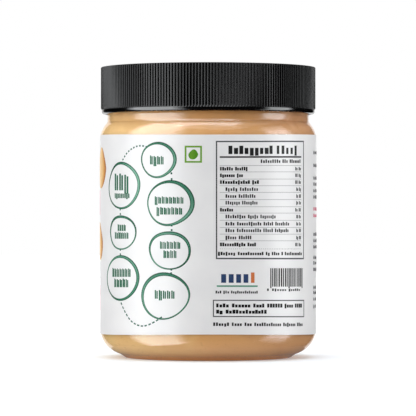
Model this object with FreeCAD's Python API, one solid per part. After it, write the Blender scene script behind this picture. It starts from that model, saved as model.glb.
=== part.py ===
import FreeCAD, Part
import math
import os

# A jar of almond butter, shut and standing on its foot ring.
#
# Four pieces share the Z axis: a clear moulded jar, the butter that fills it,
# a paper label wrapped once round the straight wall, and a screw lid whose
# skirt is ribbed for grip. The origin is on the floor under the middle of the
# jar and +Z is up. All sizes are in millimetres.

# ---- jar -------------------------------------------------------------------
body_radius = 37.9          # outside of the straight wall
wall = 1.05                 # thickness of the wall, floor, shoulder and neck
straight_height = 65.75     # straight wall between the heel and the shoulder
shoulder_radius = 8.5       # convex turn in from the straight wall
neck_radius = 35.3          # outside of the neck
neck_height = 18.0          # from the foot of the neck up to the rim
neck_hollow = 0.5           # bevel in the corner between shoulder and neck
heel_radius = 9.4           # convex turn in from the straight wall to the base
foot_radius = 30.9          # outside of the ring that the jar stands on
foot_width = 2.6            # width of that ring where it stands
foot_drop = 1.0             # how far the ring reaches below the heel
foot_bevel = 0.5            # bevel round the outside of the ring
push_up = 2.6               # height of the jar's sunk base above the floor
push_up_slope = 4.0         # width of the slope from the ring up to the base

# ---- filling ---------------------------------------------------------------
headspace = 3.0             # from the butter's level up to the rim

# ---- label -----------------------------------------------------------------
label_thickness = 0.1
label_overhang_low = 2.1    # how far the label runs down over the heel's turn
label_overhang_high = 1.65  # and up over the shoulder's

# ---- lid -------------------------------------------------------------------
lid_clearance = 0.85        # between the neck and the inside of the skirt
skirt_wall = 1.05           # from the inside of the skirt to the rib grooves
skirt_length = 15.1         # from the rim down to the lid's lower edge
plate = 1.3                 # thickness of the lid's top
edge_bevel = 0.35           # bevel round the top
rib_count = 224
rib_depth = 0.45            # from groove to crest
crest_share = 0.36          # share of the pitch that a crest takes
rib_run_out = 0.45          # height of the sloping end of a rib
band_proud = 0.2            # plain band below the ribs, out from the grooves
band_height = 1.5
lip_round = 0.9             # rounding of the band down to the lower edge

# ---- radii and heights that follow -------------------------------------------
heel_centre = (body_radius - heel_radius, foot_drop + heel_radius)
shoulder_centre = (body_radius - shoulder_radius,
                   foot_drop + heel_radius + straight_height)
neck_base = shoulder_centre[1] + math.sqrt(
    shoulder_radius ** 2 - (neck_radius - shoulder_centre[0]) ** 2)
rim_height = neck_base + neck_height
fill_height = rim_height - headspace
label_bottom = heel_centre[1] - label_overhang_low
label_top = shoulder_centre[1] + label_overhang_high
lid_top = rim_height + plate
lid_bottom = rim_height - skirt_length
skirt_inner = neck_radius + lid_clearance
groove_radius = skirt_inner + skirt_wall
lid_radius = groove_radius + rib_depth
band_radius = groove_radius + band_proud
ribs_bottom = lid_bottom + band_height


def turn(centre, radius, start, end, steps):
    """Points round a turn of a half section, from one angle to another.

    Angles are in degrees up from straight out. Each step becomes one cone.
    """
    points = []
    for step in range(steps + 1):
        angle = math.radians(start + (end - start) * step / steps)
        points.append((centre[0] + radius * math.cos(angle),
                       centre[1] + radius * math.sin(angle)))
    return points


def angle_at(centre, radius, distance):
    """Angle at which a turn is at `distance` from the axis, above its centre."""
    return math.degrees(math.acos((distance - centre[0]) / radius))


def spin(points):
    """The solid that a closed half section sweeps round the axis."""
    corners = [FreeCAD.Vector(radius, 0, height) for radius, height in points]
    face = Part.Face(Part.makePolygon(corners + corners[:1]))
    return face.revolve(FreeCAD.Vector(0, 0, 0), FreeCAD.Vector(0, 0, 1), 360)


def inside(top):
    """Half section of the jar's inside, from `top` down to the axis.

    It keeps one wall thickness from the outside, so its turns share the
    outside's centres.
    """
    inner_neck = neck_radius - wall
    neck_angle = angle_at(shoulder_centre, shoulder_radius - wall, inner_neck)
    base_radius = foot_radius - foot_width - push_up_slope
    return ([(inner_neck, top)]
            + turn(shoulder_centre, shoulder_radius - wall, neck_angle, 0, 3)
            + turn(heel_centre, heel_radius - wall, 0, -90, 6)
            + [(base_radius, push_up + wall), (0, push_up + wall)])


def make_jar():
    """The clear shell, open at the mouth, with a sunk base and a foot ring."""
    foot_inner = foot_radius - foot_width
    foot = [(0, push_up), (foot_inner - push_up_slope, push_up), (foot_inner, 0),
            (foot_radius - foot_bevel, 0), (foot_radius, foot_bevel)]
    foot_angle = -angle_at(heel_centre, heel_radius, foot_radius)
    heel = turn(heel_centre, heel_radius, foot_angle, 0, 5)
    hollow_angle = angle_at(shoulder_centre, shoulder_radius,
                            neck_radius + neck_hollow)
    shoulder = turn(shoulder_centre, shoulder_radius, 0, hollow_angle, 3)
    neck = [(neck_radius, neck_base + neck_hollow), (neck_radius, rim_height)]
    return spin(foot + heel + shoulder + neck + inside(rim_height))


def make_filling():
    """The butter, which fills the jar up to just under its rim."""
    return spin([(0, fill_height)] + inside(fill_height))


def make_label():
    """A strip of paper, once round the straight wall."""
    label_radius = body_radius + label_thickness
    return spin([(body_radius, label_bottom), (label_radius, label_bottom),
                 (label_radius, label_top), (body_radius, label_top)])


def ribbed_drum():
    """The ribbed part of the lid, solid: one flat side of the drum for each rib.

    A rib fills its side at the groove, narrows to its crest, and slopes at both
    ends. Above the ribs each side leans in as the bevel round the lid's top.
    """
    half_pitch = math.pi / rib_count
    half_crest = half_pitch * crest_share
    ribs_top = lid_top - edge_bevel

    def across(number, half_angle, radius, height):
        """The level line across rib `number`, from its left to its right."""
        middle = 2 * half_pitch * number
        return [FreeCAD.Vector(radius * math.cos(middle + angle),
                               radius * math.sin(middle + angle), height)
                for angle in (-half_angle, half_angle)]

    def face(corners):
        return Part.Face(Part.makePolygon(corners + corners[:1]))

    faces, base, top = [], [], []
    for number in range(rib_count):
        foot_low = across(number, half_pitch, groove_radius, ribs_bottom)
        crest_low = across(number, half_crest, lid_radius, ribs_bottom + rib_run_out)
        crest_high = across(number, half_crest, lid_radius, ribs_top - rib_run_out)
        foot_high = across(number, half_pitch, groove_radius, ribs_top)
        edge = across(number, half_pitch, groove_radius - edge_bevel, lid_top)
        courses = [foot_low, crest_low, crest_high, foot_high, edge]
        for lower, upper in zip(courses, courses[1:]):
            faces.append(face(lower + upper[::-1]))
        for side in (0, 1):
            faces.append(face([course[side] for course in courses[:4]]))
        base.append(foot_low[0])
        top.append(edge[0])
    shell = Part.makeShell(faces + [face(base), face(top)])
    shell.sewShape()
    return Part.makeSolid(shell)


def make_lid():
    """A screw lid: a cup over the neck, seated on the rim, ribbed outside."""
    lip_centre = (band_radius - lip_round, lid_bottom + lip_round)
    band = spin([(0, ribs_bottom), (0, lid_bottom)]
                + turn(lip_centre, lip_round, -90, 0, 3)
                + [(band_radius, ribs_bottom)])
    inside_skirt = Part.makeCylinder(skirt_inner, skirt_length,
                                     FreeCAD.Vector(0, 0, lid_bottom))
    return ribbed_drum().fuse(band).cut(inside_skirt)


os.makedirs("parts", exist_ok=True)
for name, make in (("jar", make_jar), ("almond_butter", make_filling),
                   ("label", make_label), ("lid", make_lid)):
    shape = make()
    if len(shape.Solids) != 1 or not shape.isValid():
        raise ValueError(name + " is not one valid solid")
    piece = shape.Solids[0]
    piece.exportStep("parts/" + name + ".step")
    print(name, round(piece.Volume / 1000, 2), "ml", len(piece.Faces), "faces")
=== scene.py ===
# %% [markdown]
# # A jar of almond butter
#
# The object is a clear wide-mouth jar, shut with a black screw lid and wrapped in a
# white paper label. It was first built as four exact solids: jar, butter, label and
# lid. Here each of them gets the surface that the eye expects: a clear wall with the
# butter pressed against it, a satin label with printed shapes, and a lid with a fine
# ribbed grip.
#
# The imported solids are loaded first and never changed. They say where everything
# goes, so each piece below reads its place from their boxes.

# %% Load the frame
import math
import random

import bmesh
import bpy
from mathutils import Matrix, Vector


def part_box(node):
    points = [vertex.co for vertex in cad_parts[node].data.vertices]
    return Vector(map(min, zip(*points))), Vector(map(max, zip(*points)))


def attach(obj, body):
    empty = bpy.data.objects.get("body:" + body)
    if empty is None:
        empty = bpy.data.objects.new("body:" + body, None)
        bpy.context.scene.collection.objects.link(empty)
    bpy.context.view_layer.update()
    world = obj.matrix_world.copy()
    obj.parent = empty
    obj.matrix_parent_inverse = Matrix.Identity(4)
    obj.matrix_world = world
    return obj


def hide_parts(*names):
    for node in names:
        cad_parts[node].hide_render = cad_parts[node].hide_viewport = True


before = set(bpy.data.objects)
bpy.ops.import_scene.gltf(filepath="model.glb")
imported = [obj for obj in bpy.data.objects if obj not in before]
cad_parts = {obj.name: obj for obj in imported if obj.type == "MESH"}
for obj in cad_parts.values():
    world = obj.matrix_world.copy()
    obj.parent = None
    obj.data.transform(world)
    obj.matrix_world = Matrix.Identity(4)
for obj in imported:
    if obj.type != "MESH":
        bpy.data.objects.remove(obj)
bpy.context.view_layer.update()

# %% [markdown]
# ## Camera
#
# The jar is looked at level, from about a metre away and a little under half its
# height, with a long lens. That far off, the label's edges are almost straight lines
# and the lid's rim rises in a shallow arc. A small vertical shift puts the jar in the
# frame without tilting the camera, so that its sides stay upright.

# %% Camera
MM = 0.001
scene = bpy.context.scene


def place(name, data, location=(0, 0, 0)):
    """Puts new data in the scene as an object."""
    made = bpy.data.objects.new(name, data)
    made.location = location
    scene.collection.objects.link(made)
    return made


CAMERA_AWAY, CAMERA_HEIGHT = 1030 * MM, 48 * MM
lens = bpy.data.cameras.new("camera")
lens.lens = 253.8
lens.shift_y = 0.0296
lens.shift_x = -0.0004
camera = place("camera", lens, (0, -CAMERA_AWAY, CAMERA_HEIGHT))
camera.rotation_euler = (math.pi / 2, 0, 0)
scene.camera = camera
scene.view_settings.view_transform = "Standard"
print("camera", round(CAMERA_AWAY, 3), "m away,", lens.lens, "mm lens")

# %% [markdown]
# ## Helpers for materials
#
# A material here is a Principled shader with a few nodes that vary it. One function
# adds a node with its settings and its links, and one turns a colour written as a
# hex value, as a painter would pick it, into the linear numbers that light adds up in.
# The others each stand for a node or two that several materials use.

# %% Colours and nodes


def linear(code):
    """A hex colour such as "C0864E" as linear red, green, blue and alpha."""
    parts = [int(code[i:i + 2], 16) / 255 for i in (0, 2, 4)]
    return [c / 12.92 if c <= 0.04045 else ((c + 0.055) / 1.055) ** 2.4
            for c in parts] + [1.0]


def add(tree, kind, inputs=(), **settings):
    """Adds a node. An input is given a value, or linked to another node's output."""
    made = tree.nodes.new(kind)
    for key, value in settings.items():
        setattr(made, key, value)
    for key, value in dict(inputs).items():
        if isinstance(value, bpy.types.NodeSocket):
            tree.links.new(value, made.inputs[key])
        else:
            made.inputs[key].default_value = value
    return made


def new_material(name, **values):
    """A material with one Principled shader, and the values set on its sockets."""
    material = bpy.data.materials.new(name)
    material.use_nodes = True
    tree = material.node_tree
    tree.nodes.clear()
    shader = add(tree, "ShaderNodeBsdfPrincipled",
                 {key.replace("_", " "): value for key, value in values.items()})
    add(tree, "ShaderNodeOutputMaterial", {"Surface": shader.outputs[0]})
    return material, tree, shader


def noise(tree, size, **inputs):
    """Noise on Object coordinates, with features of about `size` metres."""
    place_on = add(tree, "ShaderNodeTexCoord").outputs["Object"]
    return add(tree, "ShaderNodeTexNoise",
               {"Vector": place_on, "Scale": 1 / size, **inputs}).outputs["Fac"]


def ramp(tree, factor, *stops):
    """A colour ramp from (position, hex colour) stops."""
    made = add(tree, "ShaderNodeValToRGB", {"Fac": factor})
    points = made.color_ramp.elements
    while len(points) < len(stops):
        points.new(0.5)
    for point, (position, code) in zip(points, stops):
        point.position, point.color = position, linear(code)
    return made.outputs["Color"]


def calculate(tree, operation, *values):
    """One step of arithmetic, in a shader or in a geometry tree."""
    return add(tree, "ShaderNodeMath", dict(enumerate(values)),
               operation=operation).outputs[0]


def spread(tree, value, low, high, start=0.0, end=1.0):
    """Maps a value between start and end on to the numbers from low to high."""
    return add(tree, "ShaderNodeMapRange", {
        "Value": value, "From Min": start, "From Max": end,
        "To Min": low, "To Max": high}).outputs["Result"]


def mix(tree, share, colour, other):
    """A colour that goes from one to the other as the share goes from 0 to 1."""
    return add(tree, "ShaderNodeMix", {0: share, 6: colour, 7: other},
               data_type="RGBA").outputs[2]


def bump(tree, shader, height, depth):
    """Relief of `depth` metres on a shader's normal."""
    made = add(tree, "ShaderNodeBump", {"Height": height, "Distance": depth})
    tree.links.new(made.outputs["Normal"], shader.inputs["Normal"])


def new_surface(tree, result):
    """Links another shader's output to a material's surface."""
    output = next(node for node in tree.nodes if node.type == "OUTPUT_MATERIAL")
    tree.links.new(result, output.inputs["Surface"])


def seen_by(tree, *rays):
    """1 for rays of any of the given kinds, and 0 for all others."""
    path = add(tree, "ShaderNodeLightPath").outputs
    seen = path[rays[0]]
    for ray in rays[1:]:
        seen = calculate(tree, "MAXIMUM", seen, path[ray])
    return seen


print("a mid grey of 808080 is", round(linear("808080")[0], 3), "of full light")

# %% [markdown]
# ## Helpers for meshes
#
# The jar, the butter and the lid's drum are all turned shapes: a half section swept
# round the Z axis. The half section is drawn with straight runs and arcs. Where it
# touches the axis it closes in a pole, and where it doesn't it closes on itself.

# %% Turned shapes


def arc(centre, radius, start, end, steps):
    """Points of an arc in the half section, from angle start to end, in degrees."""
    return [(centre[0] + radius * math.cos(math.radians(a)),
             centre[1] + radius * math.sin(math.radians(a)))
            for a in (start + (end - start) * i / steps for i in range(steps + 1))]


def turned(name, section, segments):
    """The closed mesh that a half section in millimetres sweeps round the Z axis."""
    shape = bmesh.new()
    rings = []
    for radius, height in section:
        if radius < 1e-6:
            rings.append([shape.verts.new((0, 0, height * MM))] * segments)
            continue
        rings.append([shape.verts.new((radius * MM * math.sin(math.tau * i / segments),
                                       -radius * MM * math.cos(math.tau * i / segments),
                                       height * MM)) for i in range(segments)])
    on_axis = section[0][0] < 1e-6 and section[-1][0] < 1e-6
    pairs = list(zip(rings, rings[1:])) + ([] if on_axis else [(rings[-1], rings[0])])
    for lower, upper in pairs:
        for i in range(segments):
            j = (i + 1) % segments
            corners = []
            for corner in (lower[i], lower[j], upper[j], upper[i]):
                if corner not in corners:
                    corners.append(corner)
            if len(corners) > 2:
                shape.faces.new(corners)
    bmesh.ops.recalc_face_normals(shape, faces=shape.faces)
    return as_mesh(name, shape)


def as_mesh(name, shape, sharp=35):
    """A bmesh as a mesh with smooth faces, and edges over `sharp` degrees kept."""
    mesh = bpy.data.meshes.new(name)
    shape.to_mesh(mesh)
    shape.free()
    mesh.shade_smooth()
    mesh.set_sharp_from_angle(angle=math.radians(sharp))
    return mesh


def count_triangles(piece):
    triangles = sum(len(face.vertices) - 2 for face in piece.data.polygons)
    print(piece.name, "has", triangles, "triangles")


def finished(piece, node, material=None):
    """Gives a piece its material and its body, hides the solid that it stands for, and prints
    its triangles.
    """
    if material:
        piece.data.materials.clear()
        piece.data.materials.append(material)
    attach(piece, "root")
    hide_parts(node)
    count_triangles(piece)


# %% [markdown]
# ## The sizes that the solids already fix
#
# Radii and heights in millimetres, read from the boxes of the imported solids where
# they can be, so that nothing drifts from the model. The few that no box shows, such
# as the wall's thickness and the roundings, are written out.

# %% Sizes


def extent(node):
    """Outer radius, lowest and highest level of a solid, in millimetres."""
    low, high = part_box(node)
    return high[0] / MM, low[2] / MM, high[2] / MM


label_radius, label_bottom, label_top = extent("label")
lid_radius, lid_bottom, lid_top = extent("lid")
rim_height, fill_height = extent("jar")[2], extent("almond_butter")[2]
PAPER = 0.1
WALL = 1.05
HEEL_CENTRE, HEEL_RADIUS = (28.5, 10.4), 9.4
SHOULDER_CENTRE, SHOULDER_RADIUS = (29.4, 76.15), 8.5
NECK_RADIUS, NECK_BASE = 35.3, 82.27
FOOT_RADIUS, FOOT_WIDTH = 30.9, 2.6
FOOT_STANDS_AT = FOOT_RADIUS - 2.0
PUSH_UP, PUSH_UP_SLOPE = 2.6, 4.0
print("label radius", round(label_radius, 2), "lid", round(lid_bottom, 2), "to",
      round(lid_top, 2))

# %% [markdown]
# ## The jar's wall
#
# The jar is PET, blown into a polished mould: clear, glossy and very slightly wavy.
# It could be one skin with a fake shine, but the pale line along its sides, where
# light grazes it, comes by itself from a real wall with an outside and an inside.
#
# Lamps don't shine through clear plastic in a path tracer without long renders, so
# rays from lamps are let through by a Transparent shader. The eye doesn't see that
# shader, only that the butter behind the wall is lit. The jar stands on a narrow foot
# ring, and the base inside it is pushed up, so that it can't rock.

# %% Jar


def inside(top, reach, steps):
    """Half section of the jar's inside, moved `reach` mm out into the wall."""
    gap = WALL - reach
    neck = NECK_RADIUS - gap
    tilt = math.degrees(math.acos((neck - SHOULDER_CENTRE[0]) / (SHOULDER_RADIUS - gap)))
    floor = PUSH_UP + gap
    return ([(neck, top)]
            + arc(SHOULDER_CENTRE, SHOULDER_RADIUS - gap, tilt, 0, steps)
            + arc(HEEL_CENTRE, HEEL_RADIUS - gap, 0, -76, 2 * steps)
            + [(FOOT_STANDS_AT, 0.45 * gap), (FOOT_RADIUS - FOOT_WIDTH + 0.2, 0.45 * gap),
               (FOOT_RADIUS - FOOT_WIDTH - PUSH_UP_SLOPE, floor), (0, floor)])


def outside():
    """Half section of the jar's outside, from the axis below up to the rim."""
    foot_inner = FOOT_RADIUS - FOOT_WIDTH
    foot_tilt = -math.degrees(math.acos((FOOT_RADIUS - HEEL_CENTRE[0]) / HEEL_RADIUS))
    base = [(0, 2.1), (0.9, 2.15), (1.3, PUSH_UP), (foot_inner - PUSH_UP_SLOPE, PUSH_UP)]
    foot = [(foot_inner - 0.3, 0.3)] + arc((foot_inner + 0.3, 0.3), 0.3, 180, 270, 3)[1:]
    # The ring's outer side leans in towards the floor, so that it leaves the mould.
    ring = arc((FOOT_STANDS_AT - 0.1, 0.35), 0.35, 270, 302, 3)
    heel = arc(HEEL_CENTRE, HEEL_RADIUS, foot_tilt, 0, 30)
    hollow = 0.5
    edge = math.degrees(math.acos(
        (NECK_RADIUS + hollow - SHOULDER_CENTRE[0]) / SHOULDER_RADIUS))
    shoulder = arc(SHOULDER_CENTRE, SHOULDER_RADIUS, 0, edge, 20)
    corner = [(NECK_RADIUS + 0.16, NECK_BASE + 0.13), (NECK_RADIUS, NECK_BASE + 0.5)]
    rim = arc((NECK_RADIUS - 0.3, rim_height - 0.3), 0.3, 0, 90, 4)
    return base + foot + ring + heel + shoulder + corner + rim


pet, tree, shader = new_material(
    "PET, blow moulded, clear", Base_Color=linear("FCFBF8"), IOR=1.5,
    Transmission_Weight=1.0, Roughness=0.15)
# Blowing leaves the wall a few hundredths of a millimetre uneven over a centimetre.
bump(tree, shader, noise(tree, 14 * MM, Detail=1.0), 0.03 * MM)
tree.links.new(spread(tree, noise(tree, 6 * MM, Detail=2.0), 0.13, 0.17),
               shader.inputs["Roughness"])
clear_to_lamps = add(tree, "ShaderNodeMixShader", {
    0: seen_by(tree, "Is Shadow Ray"), 1: shader.outputs[0],
    2: add(tree, "ShaderNodeBsdfTransparent").outputs[0]})
new_surface(tree, clear_to_lamps.outputs[0])

jar = place("clear_jar", turned("clear_jar", outside() + inside(rim_height, 0, 10), 288))
finished(jar, "jar", pet)

# %% [markdown]
# ## The butter
#
# Nut butter is ground almonds and their oil, poured in warm. It wets the wall and
# leaves no air behind it, so its surface is made to reach a little way into the wall.
# Its colour is a pale toasted tan: the ground kernel is cream, and the skins
# darken it and leave specks under half a millimetre. Filling leaves slow swirls. One
# flat colour would look like paint, so colour ramps follow the jar's height and
# width, and the swirls move their edges about. The ramps also hold painted light and
# shade: paler at the left and at the heel, darker in the neck under the lid.

# %% Butter
butter_colour, tree, shader = new_material(
    "almond butter, ground and poured", Roughness=0.6, Specular_IOR_Level=0.06)
# Painted shade and light: the butter in the neck is painted darker, for the shade
# that the lid casts on it, and the left side is painted paler, for the light from that
# side, with the far right edge of the neck paler again. Slow swirls break both up.
where = add(tree, "ShaderNodeSeparateXYZ", {
    0: add(tree, "ShaderNodeTexCoord").outputs["Object"]}).outputs
swirls = spread(tree, noise(tree, 16 * MM, Detail=3.0, Distortion=1.6), -0.22, 0.22)


def share_of(axis, low, high):
    """How far along an axis a point is, from 0 to 1, moved about by the swirls."""
    share = spread(tree, where[axis], 0, 1, low * MM, high * MM)
    return calculate(tree, "ADD", share, swirls)


across, up = share_of("X", -36, 36), share_of("Z", 72, 85)
body_painted_light = ramp(tree, across, (0.05, "F1D092"), (0.5, "E2B074"), (0.95, "D8A778"))
neck_painted_shade = ramp(tree, across, (0.05, "EBC58F"), (0.48, "D09E65"), (0.68, "C09260"),
               (0.86, "C4966D"), (0.97, "DCAE88"))
base = mix(tree, up, body_painted_light, neck_painted_shade)
# Painted light from the white floor below: the heel is painted paler, and the
# last three millimetres are painted a warm tan.
heel_painted_light = ramp(tree, across, (0.05, "F6D6A0"), (0.5, "EDC190"), (0.95, "D9AA7E"))
for start, end, colour in ((8, 4.5, heel_painted_light), (3.2, 0.6, linear("EEA765"))):
    low = spread(tree, where["Z"], 0, 1, start * MM, end * MM)
    base = mix(tree, low, base, colour)
specks = noise(tree, 0.9 * MM, Detail=2.0)
with_specks = mix(tree, spread(tree, specks, 0, 0.22, 0.62, 0.72), base, linear("8A5B33"))
tree.links.new(with_specks, shader.inputs["Base Color"])
bump(tree, shader, specks, 0.03 * MM)

INTO_WALL = 0.2
section = [(0, fill_height)] + inside(fill_height, INTO_WALL, 12)
butter = place("butter", turned("butter", section, 256))
finished(butter, "almond_butter", butter_colour)

# %% [markdown]
# ## Trees that grow geometry
#
# Whatever repeats or follows a surface is grown by Geometry Nodes. A tree takes
# simple geometry, does one job and ends in Realize Instances and Set Material. The
# result is then written out as a plain mesh and the modifier goes.

# %% Growing


def new_tree(name, **inputs):
    """A geometry tree with named inputs. Returns the tree and those inputs."""
    tree = bpy.data.node_groups.new(name, "GeometryNodeTree")
    tree.interface.new_socket("Geometry", in_out="INPUT",
                              socket_type="NodeSocketGeometry")
    for key, kind in inputs.items():
        tree.interface.new_socket(key.replace("_", " "), in_out="INPUT",
                                  socket_type="NodeSocket" + kind)
    tree.interface.new_socket("Geometry", in_out="OUTPUT",
                              socket_type="NodeSocketGeometry")
    return tree, add(tree, "NodeGroupInput").outputs


def close_tree(tree, geometry, material, only=None):
    """Ends a tree: instances made real, then the material set, on marked faces only."""
    real = add(tree, "GeometryNodeRealizeInstances", {"Geometry": geometry})
    done = add(tree, "GeometryNodeSetMaterial",
               {"Geometry": real.outputs[0], "Material": material})
    if only:
        marked = add(tree, "GeometryNodeInputNamedAttribute", {"Name": only},
                     data_type="BOOLEAN")
        tree.links.new(marked.outputs["Attribute"], done.inputs["Selection"])
    add(tree, "NodeGroupOutput", {"Geometry": done.outputs[0]})


def grown(name, data, steps):
    """Runs trees over mesh or curve data and returns the plain mesh as an object."""
    source = place(name + "_source", data)
    for tree, values in steps:
        modifier = source.modifiers.new(tree.name, "NODES")
        modifier.node_group = tree
        for item in tree.interface.items_tree:
            if item.in_out == "INPUT" and item.name in values:
                modifier[item.identifier] = values[item.name]
    bpy.context.view_layer.update()
    depsgraph = bpy.context.evaluated_depsgraph_get()
    mesh = bpy.data.meshes.new_from_object(source.evaluated_get(depsgraph))
    bpy.data.objects.remove(source)
    mesh.name = name
    return place(name, mesh)


# %% [markdown]
# ## The lid
#
# The lid is black polypropylene, moulded in one shot. Its skirt has 224 fine ribs
# that run from just under the top edge down to a plain band, and the band's lower
# edge curls in towards the neck. One plastic has three finishes, because the mould
# has: the band is polished, the top has a fine grain, and the ribs are in between.
#
# The drum is turned. One rib is drawn with a rounded crest and sloping ends,
# and a tree sets a copy of it at each pitch. It has only 32 faces, because it is
# repeated so often.

# %% Lid drum and one rib
RIBS, RIB_DEPTH = 224, 0.45
groove = lid_radius - RIB_DEPTH
BAND_HEIGHT, BAND_PROUD, LIP = 1.5, 0.2, 0.9
EDGE = 0.15
band = groove + BAND_PROUD
SKIRT_INSIDE = 36.15
ribs_bottom = lid_bottom + BAND_HEIGHT
ribs_top = lid_top - EDGE

drum_section = (
    [(0, lid_top - 0.12), (0.8, lid_top - 0.12), (1.0, lid_top), (1.3, lid_top),
     (groove - 1.0, lid_top), (groove - EDGE, lid_top)]
    + arc((groove - EDGE, ribs_top), EDGE, 90, 0, 6)[1:]
    + [(groove, ribs_bottom + 0.1)]
    + arc((band - 0.12, ribs_bottom - 0.12), 0.12, 90, 0, 3)
    + arc((band - LIP, lid_bottom + LIP), LIP, 0, -90, 10)
    + [(SKIRT_INSIDE + 0.1, lid_bottom), (SKIRT_INSIDE, lid_bottom + 0.15),
       (SKIRT_INSIDE, rim_height), (0, rim_height)])

PITCH = math.tau * groove / RIBS
# Across the rib: share of the pitch from its middle, and height above the groove.
PROFILE = ((-0.5, -0.05), (-0.36, 0.12), (-0.22, 0.36), (-0.08, RIB_DEPTH),
           (0.08, RIB_DEPTH), (0.22, 0.36), (0.36, 0.12), (0.5, -0.05))
# Along the rib: level, and share of the full height there.
COURSES = ((ribs_bottom - 0.05, 0.0), (ribs_bottom + 0.5, 1.0),
           (lid_top - 0.3, 1.0), (lid_top - 0.02, 0.75))


def one_rib():
    """A rib that faces -Y, as a closed mesh with its back inside the drum."""
    shape = bmesh.new()
    rows = [[shape.verts.new((share * PITCH * MM,
                              -(groove + (height if height < 0 else height * full)) * MM,
                              level * MM)) for share, height in PROFILE]
            for level, full in COURSES]
    back = [[shape.verts.new((share * PITCH * MM, -(groove - 0.3) * MM, level * MM))
             for share in (PROFILE[0][0], PROFILE[-1][0])] for level, full in COURSES]
    for k in range(len(rows) - 1):
        low, high = rows[k], rows[k + 1]
        for i in range(len(PROFILE) - 1):
            shape.faces.new((low[i], low[i + 1], high[i + 1], high[i]))
        shape.faces.new((low[-1], back[k][1], back[k + 1][1], high[-1]))
        shape.faces.new((back[k][1], back[k][0], back[k + 1][0], back[k + 1][1]))
        shape.faces.new((back[k][0], low[0], high[0], back[k + 1][0]))
    shape.faces.new(rows[0][::-1] + back[0])
    shape.faces.new(rows[-1] + [back[-1][1], back[-1][0]])
    bmesh.ops.recalc_face_normals(shape, faces=shape.faces)
    mesh = as_mesh("rib", shape, sharp=50)
    mesh.attributes.new("ribbed", "BOOLEAN", "FACE").data.foreach_set(
        "value", [True] * len(mesh.polygons))
    return mesh


rib = place("rib", one_rib())
print("rib pitch", round(PITCH, 3), "mm,", len(rib.data.polygons), "faces")

# %% Lid plastic
# The band comes off polished steel: a clean dark shine.
polished, tree, shader = new_material(
    "polypropylene, injection moulded, polished", Base_Color=linear("070707"),
    IOR=1.49, Roughness=0.12)
tree.links.new(spread(tree, noise(tree, 7 * MM, Detail=2.0), 0.1, 0.14),
               shader.inputs["Roughness"])
# A fine grain on the top hides scratches, and it keeps the light from glaring there.
top_grain, tree, shader = new_material(
    "polypropylene, injection moulded, fine grain", Base_Color=linear("0A0A0A"),
    Specular_IOR_Level=0.03, Roughness=0.6)
bump(tree, shader, noise(tree, 0.5 * MM, Detail=2.0), 0.01 * MM)
# The ribs are cut into the mould and stay duller: they catch the light as fine lines.
grip, tree, shader = new_material(
    "polypropylene, injection moulded, ribbed grip", Base_Color=linear("060606"),
    Specular_IOR_Level=0.2, Roughness=0.2)
tree.links.new(spread(tree, noise(tree, 4 * MM, Detail=2.0), 0.17, 0.25),
               shader.inputs["Roughness"])

# %% Ribs round the drum
ribbing, entry = new_tree("ribs round a drum", Rib="Object", Count="Int",
                          Material="Material")
one = add(ribbing, "GeometryNodeObjectInfo", {"Object": entry["Rib"]})
points = add(ribbing, "GeometryNodePoints", {"Count": entry["Count"]})
step = calculate(ribbing, "DIVIDE", math.tau, entry["Count"])
turn = calculate(ribbing, "MULTIPLY", step, add(ribbing, "GeometryNodeInputIndex").outputs[0])
round_z = add(ribbing, "ShaderNodeCombineXYZ", {"Z": turn})
copies = add(ribbing, "GeometryNodeInstanceOnPoints", {
    "Points": points.outputs[0], "Instance": one.outputs["Geometry"],
    "Rotation": round_z.outputs[0]})
joined = add(ribbing, "GeometryNodeJoinGeometry")
for part in (copies.outputs[0], entry["Geometry"]):
    ribbing.links.new(part, joined.inputs[0])
# Only the faces marked as ribbed take the grip's material.
close_tree(ribbing, joined.outputs[0], entry["Material"], only="ribbed")

drum = turned("drum", drum_section, RIBS * 2)
drum.materials.append(polished)
drum.materials.append(top_grain)
TOP_BEGINS = (lid_top - 0.2) * MM
for face in drum.polygons:
    face.material_index = int(face.normal.z > 0.95 and face.center.z > TOP_BEGINS)
lid = grown("screw_lid", drum,
            [(ribbing, {"Rib": rib, "Count": RIBS, "Material": grip})])
bpy.data.objects.remove(rib)
finished(lid, "lid")

# %% [markdown]
# ## The label's paper
#
# The label is coated paper, a tenth of a millimetre thick, wound once round the wall
# and glued over its own start beside the front panel. It is drawn flat, as it comes
# off the press, with x along its length and z up, and a tree wraps it round the jar.
# A label is never quite true: at the front and back this one's edges are drawn in by
# about a millimetre. The print is drawn flat too and goes through the same tree.

# %% Wrapping tree and label paper
wrapping, entry = new_tree("wrap round the jar", Radius="Float", Waist="Float",
                           Level="Float", Material="Material")
flat = add(wrapping, "ShaderNodeSeparateXYZ",
           {0: add(wrapping, "GeometryNodeInputPosition").outputs[0]}).outputs
angle = calculate(wrapping, "DIVIDE", flat["X"], entry["Radius"])
# y is the depth of the drawing: negative stands out from the jar, towards -Y.
out = calculate(wrapping, "SUBTRACT", entry["Radius"], flat["Y"])
sideways = calculate(wrapping, "MULTIPLY", out, calculate(wrapping, "SINE", angle))
forward = calculate(wrapping, "MULTIPLY", out, calculate(wrapping, "COSINE", angle))
# The waist draws heights in towards a level, most at the front and the back.
facing = calculate(wrapping, "POWER", calculate(wrapping, "COSINE", angle), 2.0)
above = calculate(wrapping, "SUBTRACT", flat["Z"], entry["Level"])
drawn_in = calculate(wrapping, "MULTIPLY", above,
                     calculate(wrapping, "MULTIPLY", facing, entry["Waist"]))
place_at = add(wrapping, "ShaderNodeCombineXYZ", {
    "X": sideways, "Y": calculate(wrapping, "MULTIPLY", forward, -1.0),
    "Z": calculate(wrapping, "SUBTRACT", flat["Z"], drawn_in)})
moved = add(wrapping, "GeometryNodeSetPosition", {
    "Geometry": entry["Geometry"], "Position": place_at.outputs[0]})
close_tree(wrapping, moved.outputs[0], entry["Material"])

paper, tree, shader = new_material(
    "label paper, coated, satin", Base_Color=linear("EFEFF0"), Roughness=0.34,
    Specular_IOR_Level=0.31)
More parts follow.
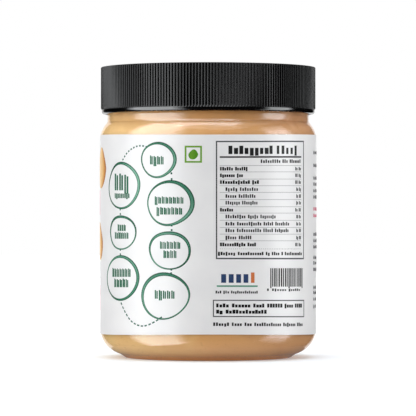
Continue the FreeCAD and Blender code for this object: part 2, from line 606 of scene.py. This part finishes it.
# Coating hides the fibres: what is left is a faint cloudiness and a fine tooth.
tree.links.new(ramp(tree, noise(tree, 9 * MM, Detail=3.0),
                    (0.3, "EDEDEE"), (0.7, "F2F2F2")), shader.inputs["Base Color"])
tree.links.new(spread(tree, noise(tree, 1.2 * MM, Detail=3.0), 0.32, 0.38),
               shader.inputs["Roughness"])
bump(tree, shader, noise(tree, 0.35 * MM, Detail=2.0), 0.003 * MM)

ROUND = math.tau * label_radius
ROUND_THE_JAR = {"Radius": label_radius * MM, "Waist": 0.0265, "Level": 48 * MM}
SEAM, LAP, CUTS = 66.0, 6.0, 380


def label_strip():
    """The flat strip. Its far end climbs on to its start, one thickness up."""
    shape = bmesh.new()
    start, end = SEAM - ROUND, SEAM + LAP
    stations = [start + (end - start) * i / CUTS for i in range(CUTS + 1)]
    stations = sorted(stations + [SEAM - 1.5, SEAM - 0.3])
    loops = []
    for s in stations:
        lift = PAPER * 1.05 * min(1, max(0, (s - SEAM + 1.5) / 1.2))
        corners = ((PAPER, label_bottom), (0.03, label_bottom), (0, label_bottom + 0.04),
                   (0, label_top - 0.04), (0.03, label_top), (PAPER, label_top))
        loops.append([shape.verts.new((s * MM, (depth - lift) * MM, z * MM))
                      for depth, z in corners])
    for low, high in zip(loops, loops[1:]):
        for i in range(6):
            j = (i + 1) % 6
            shape.faces.new((low[i], low[j], high[j], high[i]))
    shape.faces.new(loops[0])
    shape.faces.new(loops[-1][::-1])
    bmesh.ops.recalc_face_normals(shape, faces=shape.faces)
    return as_mesh("strip", shape)


label = grown("label_paper", label_strip(),
              [(wrapping, {**ROUND_THE_JAR, "Material": paper})])
finished(label, "label")
print("the strip is", round(ROUND + LAP, 1), "mm long")

# %% [markdown]
# ## Drawing the print flat
#
# Everything printed is made of ribbons: two edges, a left and a right, with the ink
# between them. A bar is a short ribbon, a seed shape is one that swells and narrows,
# and a ring is one that comes back to its start. Each stands three hundredths of a
# millimetre proud, so the ink is real geometry with no bottom to see under.
# Long bars are cut every two millimetres, because they have to bend round the jar.

# %% Ribbons
INK = 0.03


def plate():
    """An empty printing plate: corner points, faces, and a shade for each corner."""
    return {"points": [], "faces": [], "shade": []}


def ribbon(ink, left, right, closed=False, shade=None, proud=INK):
    """Adds a closed slab of ink between two edges, given in label millimetres."""
    first = len(ink["points"])
    for k, pair in enumerate(zip(left, right)):
        for side, (s, z) in enumerate(pair):
            for depth in (-proud, 0.02):
                ink["points"].append((s * MM, depth * MM, z * MM))
                ink["shade"].append(shade[k][side] if shade else 0.5)
    count = len(left)
    for k in range(count if closed else count - 1):
        a, b = first + 4 * k, first + 4 * ((k + 1) % count)
        ink["faces"] += [(a, a + 2, b + 2, b), (a + 1, b + 1, b + 3, a + 3),
                         (a, b, b + 1, a + 1), (a + 2, a + 3, b + 3, b + 2)]
    if not closed:
        a, b = first, first + 4 * (count - 1)
        ink["faces"] += [(a, a + 1, a + 3, a + 2), (b, b + 2, b + 3, b + 1)]


def bar(ink, s0, z0, s1, z1, tone=0.5):
    """A plain rectangle."""
    cuts = max(1, math.ceil((s1 - s0) / 2))
    along = [s0 + (s1 - s0) * i / cuts for i in range(cuts + 1)]
    ribbon(ink, [(s, z0) for s in along], [(s, z1) for s in along],
           shade=[(tone, tone)] * len(along))


def frame_of_bars(ink, s0, z0, s1, z1, line):
    """An outline made of four bars."""
    for box in ((s0, z0, s1, z0 + line), (s0, z1 - line, s1, z1),
                (s0, z0 + line, s0 + line, z1 - line),
                (s1 - line, z0 + line, s1, z1 - line)):
        bar(ink, *box)


def seed_shape(ink, s, z, half_width, half_height, lean=0.0, point=0.35, dark=0.0):
    """A rounded shape that can come to a point at its top, such as an almond."""
    columns = math.ceil(half_width / 0.8)
    steps = 32
    heights = [math.copysign(abs(t) ** 0.8, t) * 0.999
               for t in (-1 + 2 * i / steps for i in range(steps + 1))]

    def edge(share):
        """Points up the shape, a share of the way from its left side to its right."""
        return [(s + lean * t * half_height + (2 * share - 1) * half_width
                 * math.sqrt(1 - t * t) * (1 - point * max(0, t)), z + t * half_height)
                for t in heights]

    def tone(share):
        return dark + 0.5 * (1 - abs(2 * share - 0.7) ** 2)

    for k in range(columns):
        low, high = k / columns, (k + 1) / columns
        ribbon(ink, edge(high), edge(low), shade=[(tone(high), tone(low))] * (steps + 1))


def on_label(piece):
    """Puts a printed piece on the jar's body and prints its triangles."""
    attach(piece, "root")
    count_triangles(piece)


def printed(name, ink, material):
    """Wraps a plate of ink round the label as one piece."""
    mesh = bpy.data.meshes.new(name)
    mesh.from_pydata(ink["points"], [], ink["faces"])
    mesh.attributes.new("shade", "FLOAT", "POINT").data.foreach_set(
        "value", ink["shade"])
    mesh.shade_flat()
    on_label(grown(name, mesh, [(wrapping, {**ROUND_THE_JAR, "Material": material})]))


def ink_material(name, *stops):
    """Offset ink: its colour follows the shade stored in the print's corners."""
    material, tree, shader = new_material(name, Roughness=0.4, Specular_IOR_Level=0.12)
    stored = add(tree, "ShaderNodeAttribute", attribute_name="shade").outputs["Fac"]
    mottle = spread(tree, noise(tree, 0.8 * MM, Detail=2.0), -0.06, 0.06)
    value = calculate(tree, "ADD", stored, mottle)
    tree.links.new(ramp(tree, value, *stops), shader.inputs["Base Color"])
    return material


# %% [markdown]
# ## Green rings
#
# Down the left of the panel runs a chain of rings, drawn as if with a wide dry
# brush: uneven, thick on one side and thin on the other, and darker where the brush
# pressed. Each is a band of mid green with a darker line down both edges, where wet
# ink gathers. A few slow waves from a seeded generator make every ring differ.

# %% Rings
RING_STEPS = 120
green = plate()
chance = random.Random(7)
# Middle along and up the label, width, height, the angle at which the stroke is
# thickest, and its thickness there. Lengths are in millimetres.
RINGS = ((-17.7, 69.0, 13.5, 12.7, 15, 1.25), (-33.9, 60.0, 18.0, 16.3, 20, 1.3),
         (-13.3, 54.0, 17.2, 16.0, 10, 1.6), (-34.2, 43.8, 15.0, 12.3, 100, 0.9),
         (-13.5, 37.6, 15.4, 13.5, 75, 1.2), (-34.8, 28.0, 19.0, 15.9, 10, 1.4),
         (-15.4, 21.8, 18.4, 16.2, 120, 1.3))


def brush_ring(ink, s, z, width, height, heavy, thick, thin=0.5):
    """A band of mid green with a dark line down each of its edges."""
    def waves(orders, low, high):
        made = [(k, chance.uniform(low, high) / k, chance.uniform(0, 6.28)) for k in orders]
        return lambda a: sum(depth * math.sin(k * a + phase) for k, depth, phase in made)

    bulge, press = waves((2, 3, 4), 0.02, 0.05), waves((1, 2, 3), 0.2, 0.35)
    wander = waves((2, 5), 0.1, 0.3)
    rims = ([], [], [], [])
    tones = ([], [], [])
    for i in range(RING_STEPS):
        a = math.tau * i / RING_STEPS
        swell = (0.5 + 0.5 * math.cos(a - math.radians(heavy))) ** 1.3
        band = thin + (thick - thin) * swell
        line = 0.24 + 0.16 * swell * (1 + wander(a))
        for rim, depth in zip(rims, (0, line, band - line * 0.8, band)):
            rim.append((s + (width / 2 * (1 + bulge(a)) - depth) * math.cos(a),
                        z + (height / 2 * (1 + bulge(a)) - depth) * math.sin(a)))
        tone = 0.3 + 0.7 * press(a)
        for kept, shift in zip(tones, (-0.1, 0.25 + 0.25 * swell, 0.05)):
            value = min(1, max(0, tone + shift))
            kept.append((value, value))
    for outer, inner, shade, proud in ((rims[0], rims[3], tones[1], INK),
                                       (rims[0], rims[1], tones[0], INK * 1.5),
                                       (rims[2], rims[3], tones[2], INK * 1.5)):
        ribbon(ink, outer, inner, closed=True, shade=shade, proud=proud)


for ring in RINGS:
    brush_ring(green, *ring)
print(len(RINGS), "rings drawn")

# %% [markdown]
# ## Bars in place of words
#
# No word is printed on this jar. A line of type is stood for by blocks, one to a
# letter, in runs as long as words are, so that the panel is as grey as type makes
# it. Heavy type has wide blocks with little between them, and in the rings, where it
# is large and thin, each letter is two strokes.

# %% Blocks for type
# The gap between words and the step to a second stroke, in letters, and the shares of
# letters that are tall and that reach below the line.
GAP, SECOND, TALL, BELOW = 0.8, 0.42, 0.3, 0.08


def type_line(ink, s0, z0, s1, height, words, weight=0.6, tone=0.5, strokes=1,
              short=0.74):
    """Blocks from s0 to s1 in runs of the given lengths, one or two to a letter."""
    pitch = (s1 - s0) / (sum(words) + GAP * (len(words) - 1))
    s = s0
    for word in words:
        for k in range(word):
            tall = height * (1.0 if k == 0 or chance.random() < TALL else short)
            low = z0 - (height * 0.2 if chance.random() < BELOW else 0)
            wide = pitch * weight * chance.uniform(0.9, 1.1)
            for stroke in range(strokes):
                at = s + SECOND * pitch * stroke
                bar(ink, at, low, at + wide, z0 + tall * (1 - 0.1 * stroke), tone)
            s += pitch
        s += GAP * pitch


# Left, foot and right of each line inside the rings, its height, and its words.
RING_LINES = ((-20.8, 67.4, -15.2, 3.1, (4,)), (-38.3, 58.4, -29.7, 5.8, (3,)),
              (-38.3, 55.7, -29.7, 1.8, (9,)), (-18.9, 53.8, -8.1, 2.5, (8,)),
              (-18.2, 50.0, -8.6, 2.6, (7,)), (-36.4, 44.3, -31.6, 2.4, (4,)),
              (-38.2, 41.6, -30.2, 2.4, (7,)), (-16.9, 38.1, -9.3, 2.6, (6,)),
              (-15.6, 34.9, -10.6, 2.7, (4,)), (-39.9, 28.4, -29.0, 3.1, (7,)),
              (-38.6, 24.8, -30.1, 3.0, (5,)), (-18.9, 20.8, -11.2, 3.0, (5,)))
for s0, z0, s1, height, words in RING_LINES:
    type_line(green, s0, z0, s1, height, words, 0.34, 0.34, strokes=2, short=0.93)

# %% Nutrition panel
black = plate()
frame_of_bars(black, 2.6, 34.5, 39.9, 75.6, 0.45)
type_line(black, 6.9, 71.0, 24.0, 2.9, (9,), weight=0.73, tone=0.05)
type_line(black, 25.2, 71.0, 36.2, 2.9, (5,), weight=0.52, tone=0.1)
bar(black, 3.9, 69.7, 38.1, 70.25, 0.15)
type_line(black, 18.6, 67.9, 37.9, 1.2, (9, 3, 7), weight=0.68, tone=0.15)
RULES = (67.0, 64.8, 62.3, 60.0, 57.7, 55.2, 52.7, 50.5, 48.0, 45.5, 43.2, 40.9)
for level in RULES:
    bar(black, 3.9, level - 0.06, 38.1, level + 0.06, 0.85)
# The last rule is a row of dots.
for i in range(46):
    bar(black, 4.0 + 0.74 * i, 38.0, 4.3 + 0.74 * i, 38.15, 0.6)
# Start, foot and end of each row's name, whether it is heavy, and its words.
ROWS = ((4.0, 65.3, 13.8, 1, (6, 6)), (4.0, 63.0, 12.1, 1, (7, 3)),
        (4.0, 60.65, 18.0, 1, (12, 3)), (5.9, 58.2, 17.8, 0, (5, 8)),
        (5.9, 55.8, 16.8, 0, (5, 8)), (5.9, 53.5, 17.6, 0, (7, 8)),
        (4.0, 51.05, 8.7, 1, (6,)), (5.9, 48.7, 24.9, 0, (9, 5, 8)),
        (5.9, 46.2, 31.2, 0, (4, 11, 5, 8)), (5.9, 43.9, 31.0, 0, (4, 11, 5, 8)),
        (5.9, 41.4, 15.3, 0, (5, 6)), (4.0, 39.0, 16.9, 1, (11, 4)))
for s0, z0, s1, heavy, words in ROWS:
    type_line(black, s0, z0, s1, 1.25, words, weight=0.78 if heavy else 0.66,
              tone=0.05 if heavy else 0.15)
    type_line(black, 34.4 if heavy else 35.0, z0, 37.9, 1.2, (2, 2), weight=0.72,
              tone=0.2)
type_line(black, 3.3, 35.9, 38.6, 1.15, (7, 11, 2, 4, 1, 11), weight=0.73, tone=0.05)
print(len(ROWS), "rows and", len(RULES), "rules")

# %% [markdown]
# ## The rest of the panel
#
# Under the table stand a code of upright stripes, a row of small blocks over a green
# line, a boxed pair of lines and a last line. The stripes are drawn at random and
# stand for no number. At the right begin the columns of small type of the label's
# side, and up by the rings sits a green square frame with a seed in it.

# %% Stripes, boxes and lines
s = 22.4
while s < 38.6:
    wide = chance.choice((0.4, 0.5, 0.65))
    guard = s < 23.2 or 30.2 < s < 31.0 or s > 37.8
    bar(black, s, 25.0 if not guard else 24.5, min(s + wide, 38.9), 31.4, 0.12)
    s += wide + chance.choice((0.3, 0.35, 0.45))
type_line(black, 21.1, 23.5, 37.6, 0.85, (1, 6, 6), weight=0.68, tone=0.3)
type_line(black, 2.5, 22.6, 17.6, 0.95, (3, 3, 14), weight=0.7, tone=0.2)
frame_of_bars(black, 1.6, 14.4, 40.1, 20.4, 0.36)
type_line(black, 2.7, 17.75, 38.7, 1.35, (4, 6, 4, 6, 4, 4), weight=0.79, tone=0.0)
type_line(black, 2.7, 15.6, 21.1, 1.35, (2, 13), weight=0.81, tone=0.0)
type_line(black, 1.7, 11.3, 39.2, 1.2, (6, 4, 3, 12, 7, 4), weight=0.71, tone=0.1)

badge = plate()
for i in range(4):
    bar(badge, 4.4 + 2.6 * i, 26.3, 6.1 + 2.6 * i, 29.3, 0.05)
bar(badge, 14.9, 26.3, 16.2, 29.9, 0.95)
bar(badge, 2.9, 24.9, 17.4, 25.4, 0.5)

mark = plate()
frame_of_bars(mark, -8.0, 68.0, -2.1, 73.9, 0.6)
seed_shape(mark, -5.05, 70.9, 1.65, 1.75, lean=0.12, point=0.3, dark=-0.2)

# %% Columns of small type at the right
rose = plate()
COLUMN_START = 49.1
COLUMN = ((71.1, 5), (66.6, 6), (62.2, 5), (60.1, 6), (57.8, 4), (55.6, 6),
          (51.4, 4), (49.1, 5), (42.6, 6), (40.4, 6), (38.2, 5), (34.5, 5), (32.6, 4),
          (30.3, 6), (24.1, 5), (22.3, 6), (20.0, 5), (17.5, 4))
for level, words in COLUMN:
    ink = rose if 48 < level < 52 else black
    lengths = [chance.randint(3, 8) for k in range(words)]
    end = COLUMN_START + 0.59 * sum(lengths)
    type_line(ink, COLUMN_START, level, min(end, 63.8), 1.2, lengths, 0.5, 0.6)

# %% [markdown]
# ## Dots and dashes
#
# Dotted and dashed lines join the rings. Each line is a curve through a few points,
# and a tree spaces small flat marks evenly along it, turned to follow it.

# %% Dots and dashes along curves
dashing, entry = new_tree("marks along a line", Count="Int", Length="Float",
                          Width="Float", Thickness="Float", Material="Material")
even = add(dashing, "GeometryNodeResampleCurve",
           {"Curve": entry["Geometry"], "Count": entry["Count"]})
size = add(dashing, "ShaderNodeCombineXYZ", {
    "X": entry["Length"], "Y": entry["Thickness"], "Z": entry["Width"]})
block = add(dashing, "GeometryNodeMeshCube", {"Size": size.outputs[0]})
along = add(dashing, "FunctionNodeAlignRotationToVector", {
    "Vector": add(dashing, "GeometryNodeInputTangent").outputs[0]},
    axis="X", pivot_axis="Y")
marks = add(dashing, "GeometryNodeInstanceOnPoints", {
    "Points": even.outputs[0], "Instance": block.outputs["Mesh"],
    "Rotation": along.outputs[0]})
close_tree(dashing, marks.outputs[0], entry["Material"])


def marked_line(name, points, count, length, width, material):
    """A row of marks along a curve through label points, wrapped on the label."""
    curve = bpy.data.curves.new(name, "CURVE")
    curve.dimensions = "3D"
    line = curve.splines.new("NURBS")
    line.points.add(len(points) - 1)
    for point, (s, z) in zip(line.points, points):
        point.co = (s * MM, 0, z * MM, 1)
    line.order_u, line.use_endpoint_u = 3, True
    return grown(name, curve, [
        (dashing, {"Count": count, "Length": length * MM, "Width": width * MM,
                   "Thickness": 2 * INK * MM, "Material": material}),
        (wrapping, {**ROUND_THE_JAR, "Material": material})])


LINES = (("dots_top", ((-33.3, 69.1), (-31.6, 71.2), (-28.2, 73.2), (-24.6, 74.1),
                       (-22.3, 73.5)), 10, 0.7, 0.55),
         ("dashes_bottom", ((-34.2, 19.1), (-32.4, 16.2), (-28.0, 11.9), (-21.6, 10.9),
                            (-16.6, 14.2)), 14, 1.0, 0.5))
# Between rings that almost touch there are only two dots: the upper and the lower.
PAIRS = (("dots_right_top", (-12.7, 64.3), (-12.6, 62.3)),
         ("dots_right_low", (-12.6, 46.2), (-12.6, 44.6)),
         ("dots_left_top", (-34.9, 51.8), (-34.8, 50.2)),
         ("dots_left_low", (-34.8, 37.8), (-34.8, 36.2)),
         ("dots_right_foot", (-12.7, 30.9), (-12.8, 29.6)))
link_ink = ink_material("offset ink, dark green", (0.0, "24594A"), (1.0, "2E6352"))
for name, points, count, length, width in LINES:
    on_label(marked_line(name, points, count, length, width, link_ink))
for name, *dots in PAIRS:
    on_label(marked_line(name, dots, 2, 0.7, 0.6, link_ink))
print(len(LINES), "lines and", len(PAIRS), "pairs of marks")

# %% [markdown]
# ## The front of the label
#
# The front panel is on the far side, and only its edge shows here, with parts of two
# almonds and a little pink. It is finished as a plain panel of the same family: a
# large brushed ring with bars in it, and almonds and plain pink tags on both sides.

# %% Front panel
FRONT = -ROUND / 2 + 3
almonds, tags = plate(), plate()
ALMONDS = ((-52.0, 66.3, 6.6, 7.2, 0.10), (-55.4, 40.8, 5.9, 6.7, -0.12),
           (-70.5, 61.5, 5.6, 7.6, -0.35), (-70.0, 38.0, 5.4, 7.2, 0.30),
           (-164.0, 66.5, 5.8, 7.4, 0.25), (-163.0, 40.0, 5.6, 7.0, -0.22))
for s, z, half_width, half_height, lean in ALMONDS:
    seed_shape(almonds, s, z, half_width, half_height, lean, point=0.42, dark=0.38)
for z in (54.2, 20.9):
    for s0, s1 in ((-64.0, -55.0), (-165.0, -151.0)):
        bar(tags, s0, z - 4.3, s1, z + 4.3, 0.5)
brush_ring(green, FRONT, 46.0, 62.0, 54.0, 40, 2.2)
for z0, half, height, words in ((53.0, 21.0, 8.5, (7,)), (41.5, 24.0, 8.5, (8,)),
                                (33.0, 15.0, 3.4, (5, 6)), (27.5, 12.0, 2.4, (3, 7))):
    type_line(green, FRONT - half, z0, FRONT + half, height, words, 0.7, 0.15)

# %% Wrap the print
printed("print_green", green, ink_material(
    "offset ink, brushed green", (0.0, "00402A"), (0.3, "0B583C"), (0.6, "35795D"),
    (1.0, "7DAF99")))
printed("print_black", black, ink_material(
    "offset ink, black", (0.0, "141414"), (0.5, "4A4A4C"), (1.0, "9A9A9C")))
printed("print_rose", rose, ink_material(
    "offset ink, rose", (0.0, "D05572"), (1.0, "DE7A92")))
printed("print_tags", tags, ink_material(
    "offset ink, pale pink", (0.0, "F2C4CE"), (1.0, "F6D2DA")))
printed("print_badge", badge, ink_material(
    "offset ink, navy to orange", (0.0, "2B2C6B"), (0.4, "3F9070"), (0.6, "3F9070"),
    (1.0, "DE7238")))
printed("print_mark", mark, ink_material(
    "offset ink, leaf green", (0.0, "4E8C10"), (1.0, "80AF34")))
printed("print_almonds", almonds, ink_material(
    "offset ink, almond brown", (0.0, "9C5A22"), (0.3, "C98A42"), (0.6, "E8BB7C"),
    (1.0, "F3D3A0")))

# %% [markdown]
# ## Floor, background and light
#
# The jar stands on a plain white floor under soft, even light. To the eye, and in
# glossy and clear surfaces, the world is plain white, so that the background is white
# without more light on the jar. To matt surfaces it gives only a little light.
#
# Two kinds of soft box do the rest. Six wide ones light what is matt, and aren't seen
# in reflections. The others are seen only there, and draw the shine without making the
# paper any brighter: upright bands at the left and right, and lines along the shoulder.
# A black card round the camera keeps the front of the lid black.

# %% World
WHITE, EVEN = 1.0, 0.15
world = bpy.data.worlds.new("studio")
world.use_nodes = True
world.cycles.sampling_method = "NONE"
scene.world = world
tree = world.node_tree
tree.nodes.clear()
seen = seen_by(tree, "Is Camera Ray", "Is Glossy Ray", "Is Transmission Ray")
sky = add(tree, "ShaderNodeBackground", {
    "Color": (1, 1, 1, 1), "Strength": spread(tree, seen, EVEN, WHITE)})
add(tree, "ShaderNodeOutputWorld", {"Surface": sky.outputs[0]})

# %% Floor


def stage_mesh(name, corners, faces):
    mesh = bpy.data.meshes.new(name)
    mesh.from_pydata(corners, [], faces)
    made = place(name, mesh)
    return made


def only_in_reflections(made):
    made.visible_camera = made.visible_diffuse = made.visible_shadow = False
    made.visible_transmission = False


HALF = 3.0
floor = stage_mesh("floor", [(-HALF, -HALF, 0), (HALF, -HALF, 0), (HALF, HALF, 0),
                             (-HALF, HALF, 0)], [(0, 1, 2, 3)])
matt, tree, shader = new_material("matt white board", Base_Color=linear("F7F7F8"),
                                  Roughness=0.9, Specular_IOR_Level=0.0)
off_axis = add(tree, "ShaderNodeVectorMath", {
    0: add(tree, "ShaderNodeTexCoord").outputs["Object"]},
    operation="LENGTH").outputs["Value"]


def by_distance(near, far, at_near, at_far, *rays):
    """A number that follows the distance from the jar's axis, for some rays only."""
    share = spread(tree, off_axis, at_near, at_far, near, far)
    return calculate(tree, "MULTIPLY", share, seen_by(tree, *rays))


# Further off, less light reaches the board, and it is lifted to white where it is seen.
lift = add(tree, "ShaderNodeEmission", {
    "Color": (1, 1, 1, 1),
    "Strength": by_distance(0.12, 0.6, 0.19, 1.0, "Is Camera Ray", "Is Transmission Ray")})
# Close to the jar the butter's warm light falls on the board. A slightly cool white, for
# the eye only, keeps the shadow there grey.
cool = mix(tree, by_distance(0.04, 0.1, 1.0, 0.0, "Is Camera Ray"),
           linear("F7F7F8"), linear("EFF5FB"))
tree.links.new(cool, shader.inputs["Base Color"])
both = add(tree, "ShaderNodeAddShader", {0: shader.outputs[0], 1: lift.outputs[0]})
new_surface(tree, both.outputs[0])
floor.data.materials.append(matt)
floor.visible_glossy = False

# %% Black card round the camera
# Shiny surfaces don't see the floor, so that the soft boxes and the card can run on
# below it.
CARD_AWAY, CARD_BOTTOM, CARD_TOP = 0.8, -1.6, 1.0
CARD_FROM, CARD_TO, CARD_STEPS = -154, 158, 40
corners, faces = [], []
for i in range(CARD_STEPS + 1):
    a = math.radians(CARD_FROM + (CARD_TO - CARD_FROM) * i / CARD_STEPS)
    for z in (CARD_BOTTOM, CARD_TOP):
        corners.append((CARD_AWAY * math.sin(a), -CARD_AWAY * math.cos(a), z))
    if i:
        faces.append((2 * i - 2, 2 * i, 2 * i + 1, 2 * i - 1))
faces.append(tuple(range(0, len(corners), 2)))
card = stage_mesh("black_card", corners, faces)
card.data.materials.append(new_material("black card", Base_Color=linear("000000"),
                                        Roughness=1.0, Specular_IOR_Level=0.0)[0])
only_in_reflections(card)

# %% Shade under the jar
# In reflections a dark disc takes the place of the jar's own shadow on the floor.
SHADE_RADIUS, SHADE_SIDES = 37.5 * MM, 64
turns = [math.tau * i / SHADE_SIDES for i in range(SHADE_SIDES)]
shade = stage_mesh(
    "shade_under_jar",
    [(SHADE_RADIUS * math.cos(a), SHADE_RADIUS * math.sin(a), -0.3 * MM) for a in turns],
    [tuple(range(SHADE_SIDES))])
shade.data.materials.append(new_material(
    "board in shadow", Base_Color=linear("000000"), Roughness=1.0, Specular_IOR_Level=0.0,
    Emission_Color=(1, 1, 1, 1), Emission_Strength=0.16)[0])
only_in_reflections(shade)

# %% Soft boxes


def soft_box(name, azimuth, elevation, away, up, size, radiance, shine):
    """A soft box that faces the jar. Azimuth 0 is towards the camera, 90 is +X."""
    lamp = bpy.data.lights.new(name, "AREA")
    lamp.shape, (lamp.size, lamp.size_y) = "RECTANGLE", size
    lamp.energy = radiance * math.pi * size[0] * size[1]
    lamp.color = linear("FAFDFF" if shine else "FFFFFF")[:3]
    a, e = math.radians(azimuth), math.radians(elevation)
    made = place(name, lamp, (away * math.sin(a) * math.cos(e),
                              -away * math.cos(a) * math.cos(e),
                              CAMERA_HEIGHT + up + away * math.sin(e)))
    made.rotation_euler = (math.pi / 2 - e, 0, a)
    made.visible_camera = False
    made.visible_glossy = shine
    made.visible_diffuse = made.visible_transmission = not shine


# Each row has the box's azimuth and elevation, how far away it is and how much it is
# raised, its width and height, and its radiance.
#
# Each side has three boxes, one behind the other, so that its band of shine fades at
# the edges. They stand a centimetre apart: of two at the same distance, a reflection
# would show only one.
SHINE = (("shine_left", -61, 0, 0.60, 0.05, (0.54, 1.80), 3.2),
         ("shine_left_rim", -61, 0, 0.61, 0.05, (0.68, 1.88), 2.8),
         ("shine_left_edge", -60.5, 0, 0.62, 0.05, (0.85, 1.98), 2.3),
         ("shine_right", 81.5, 0, 0.60, 0, (0.28, 0.66), 3.35),
         ("shine_right_rim", 81.5, 0, 0.61, 0, (0.36, 0.88), 1.6),
         ("shine_right_edge", 81.5, 0, 0.62, 0, (0.43, 1.12), 1.7),
         ("shine_above", -5, 72, 0.95, 0, (0.86, 0.48), 7.0),
         ("shine_front", -42, 42, 1.0, 0, (1.0, 0.5), 0.6),
         ("shine_canopy", 12, 40, 0.98, 0, (2.2, 0.5), 1.9))
SOFT = (("overhead", 0, 90, 1.0, 0, (1.2, 1.2), 1.9),
        ("side_left", -105, 10, 1.0, 0, (0.8, 1.0), 2.1),
        ("side_right", 105, 10, 1.0, 0, (0.8, 1.0), 1.9),
        ("key", -40, 30, 1.2, 0, (1.2, 0.8), 0.5),
        ("front", 0, 20, 1.3, 0, (1.6, 1.2), 0.6),
        ("back", 180, 20, 1.3, 0, (1.6, 1.2), 0.9))
for row in SHINE:
    soft_box(*row, shine=True)
for row in SOFT:
    soft_box(*row, shine=False)
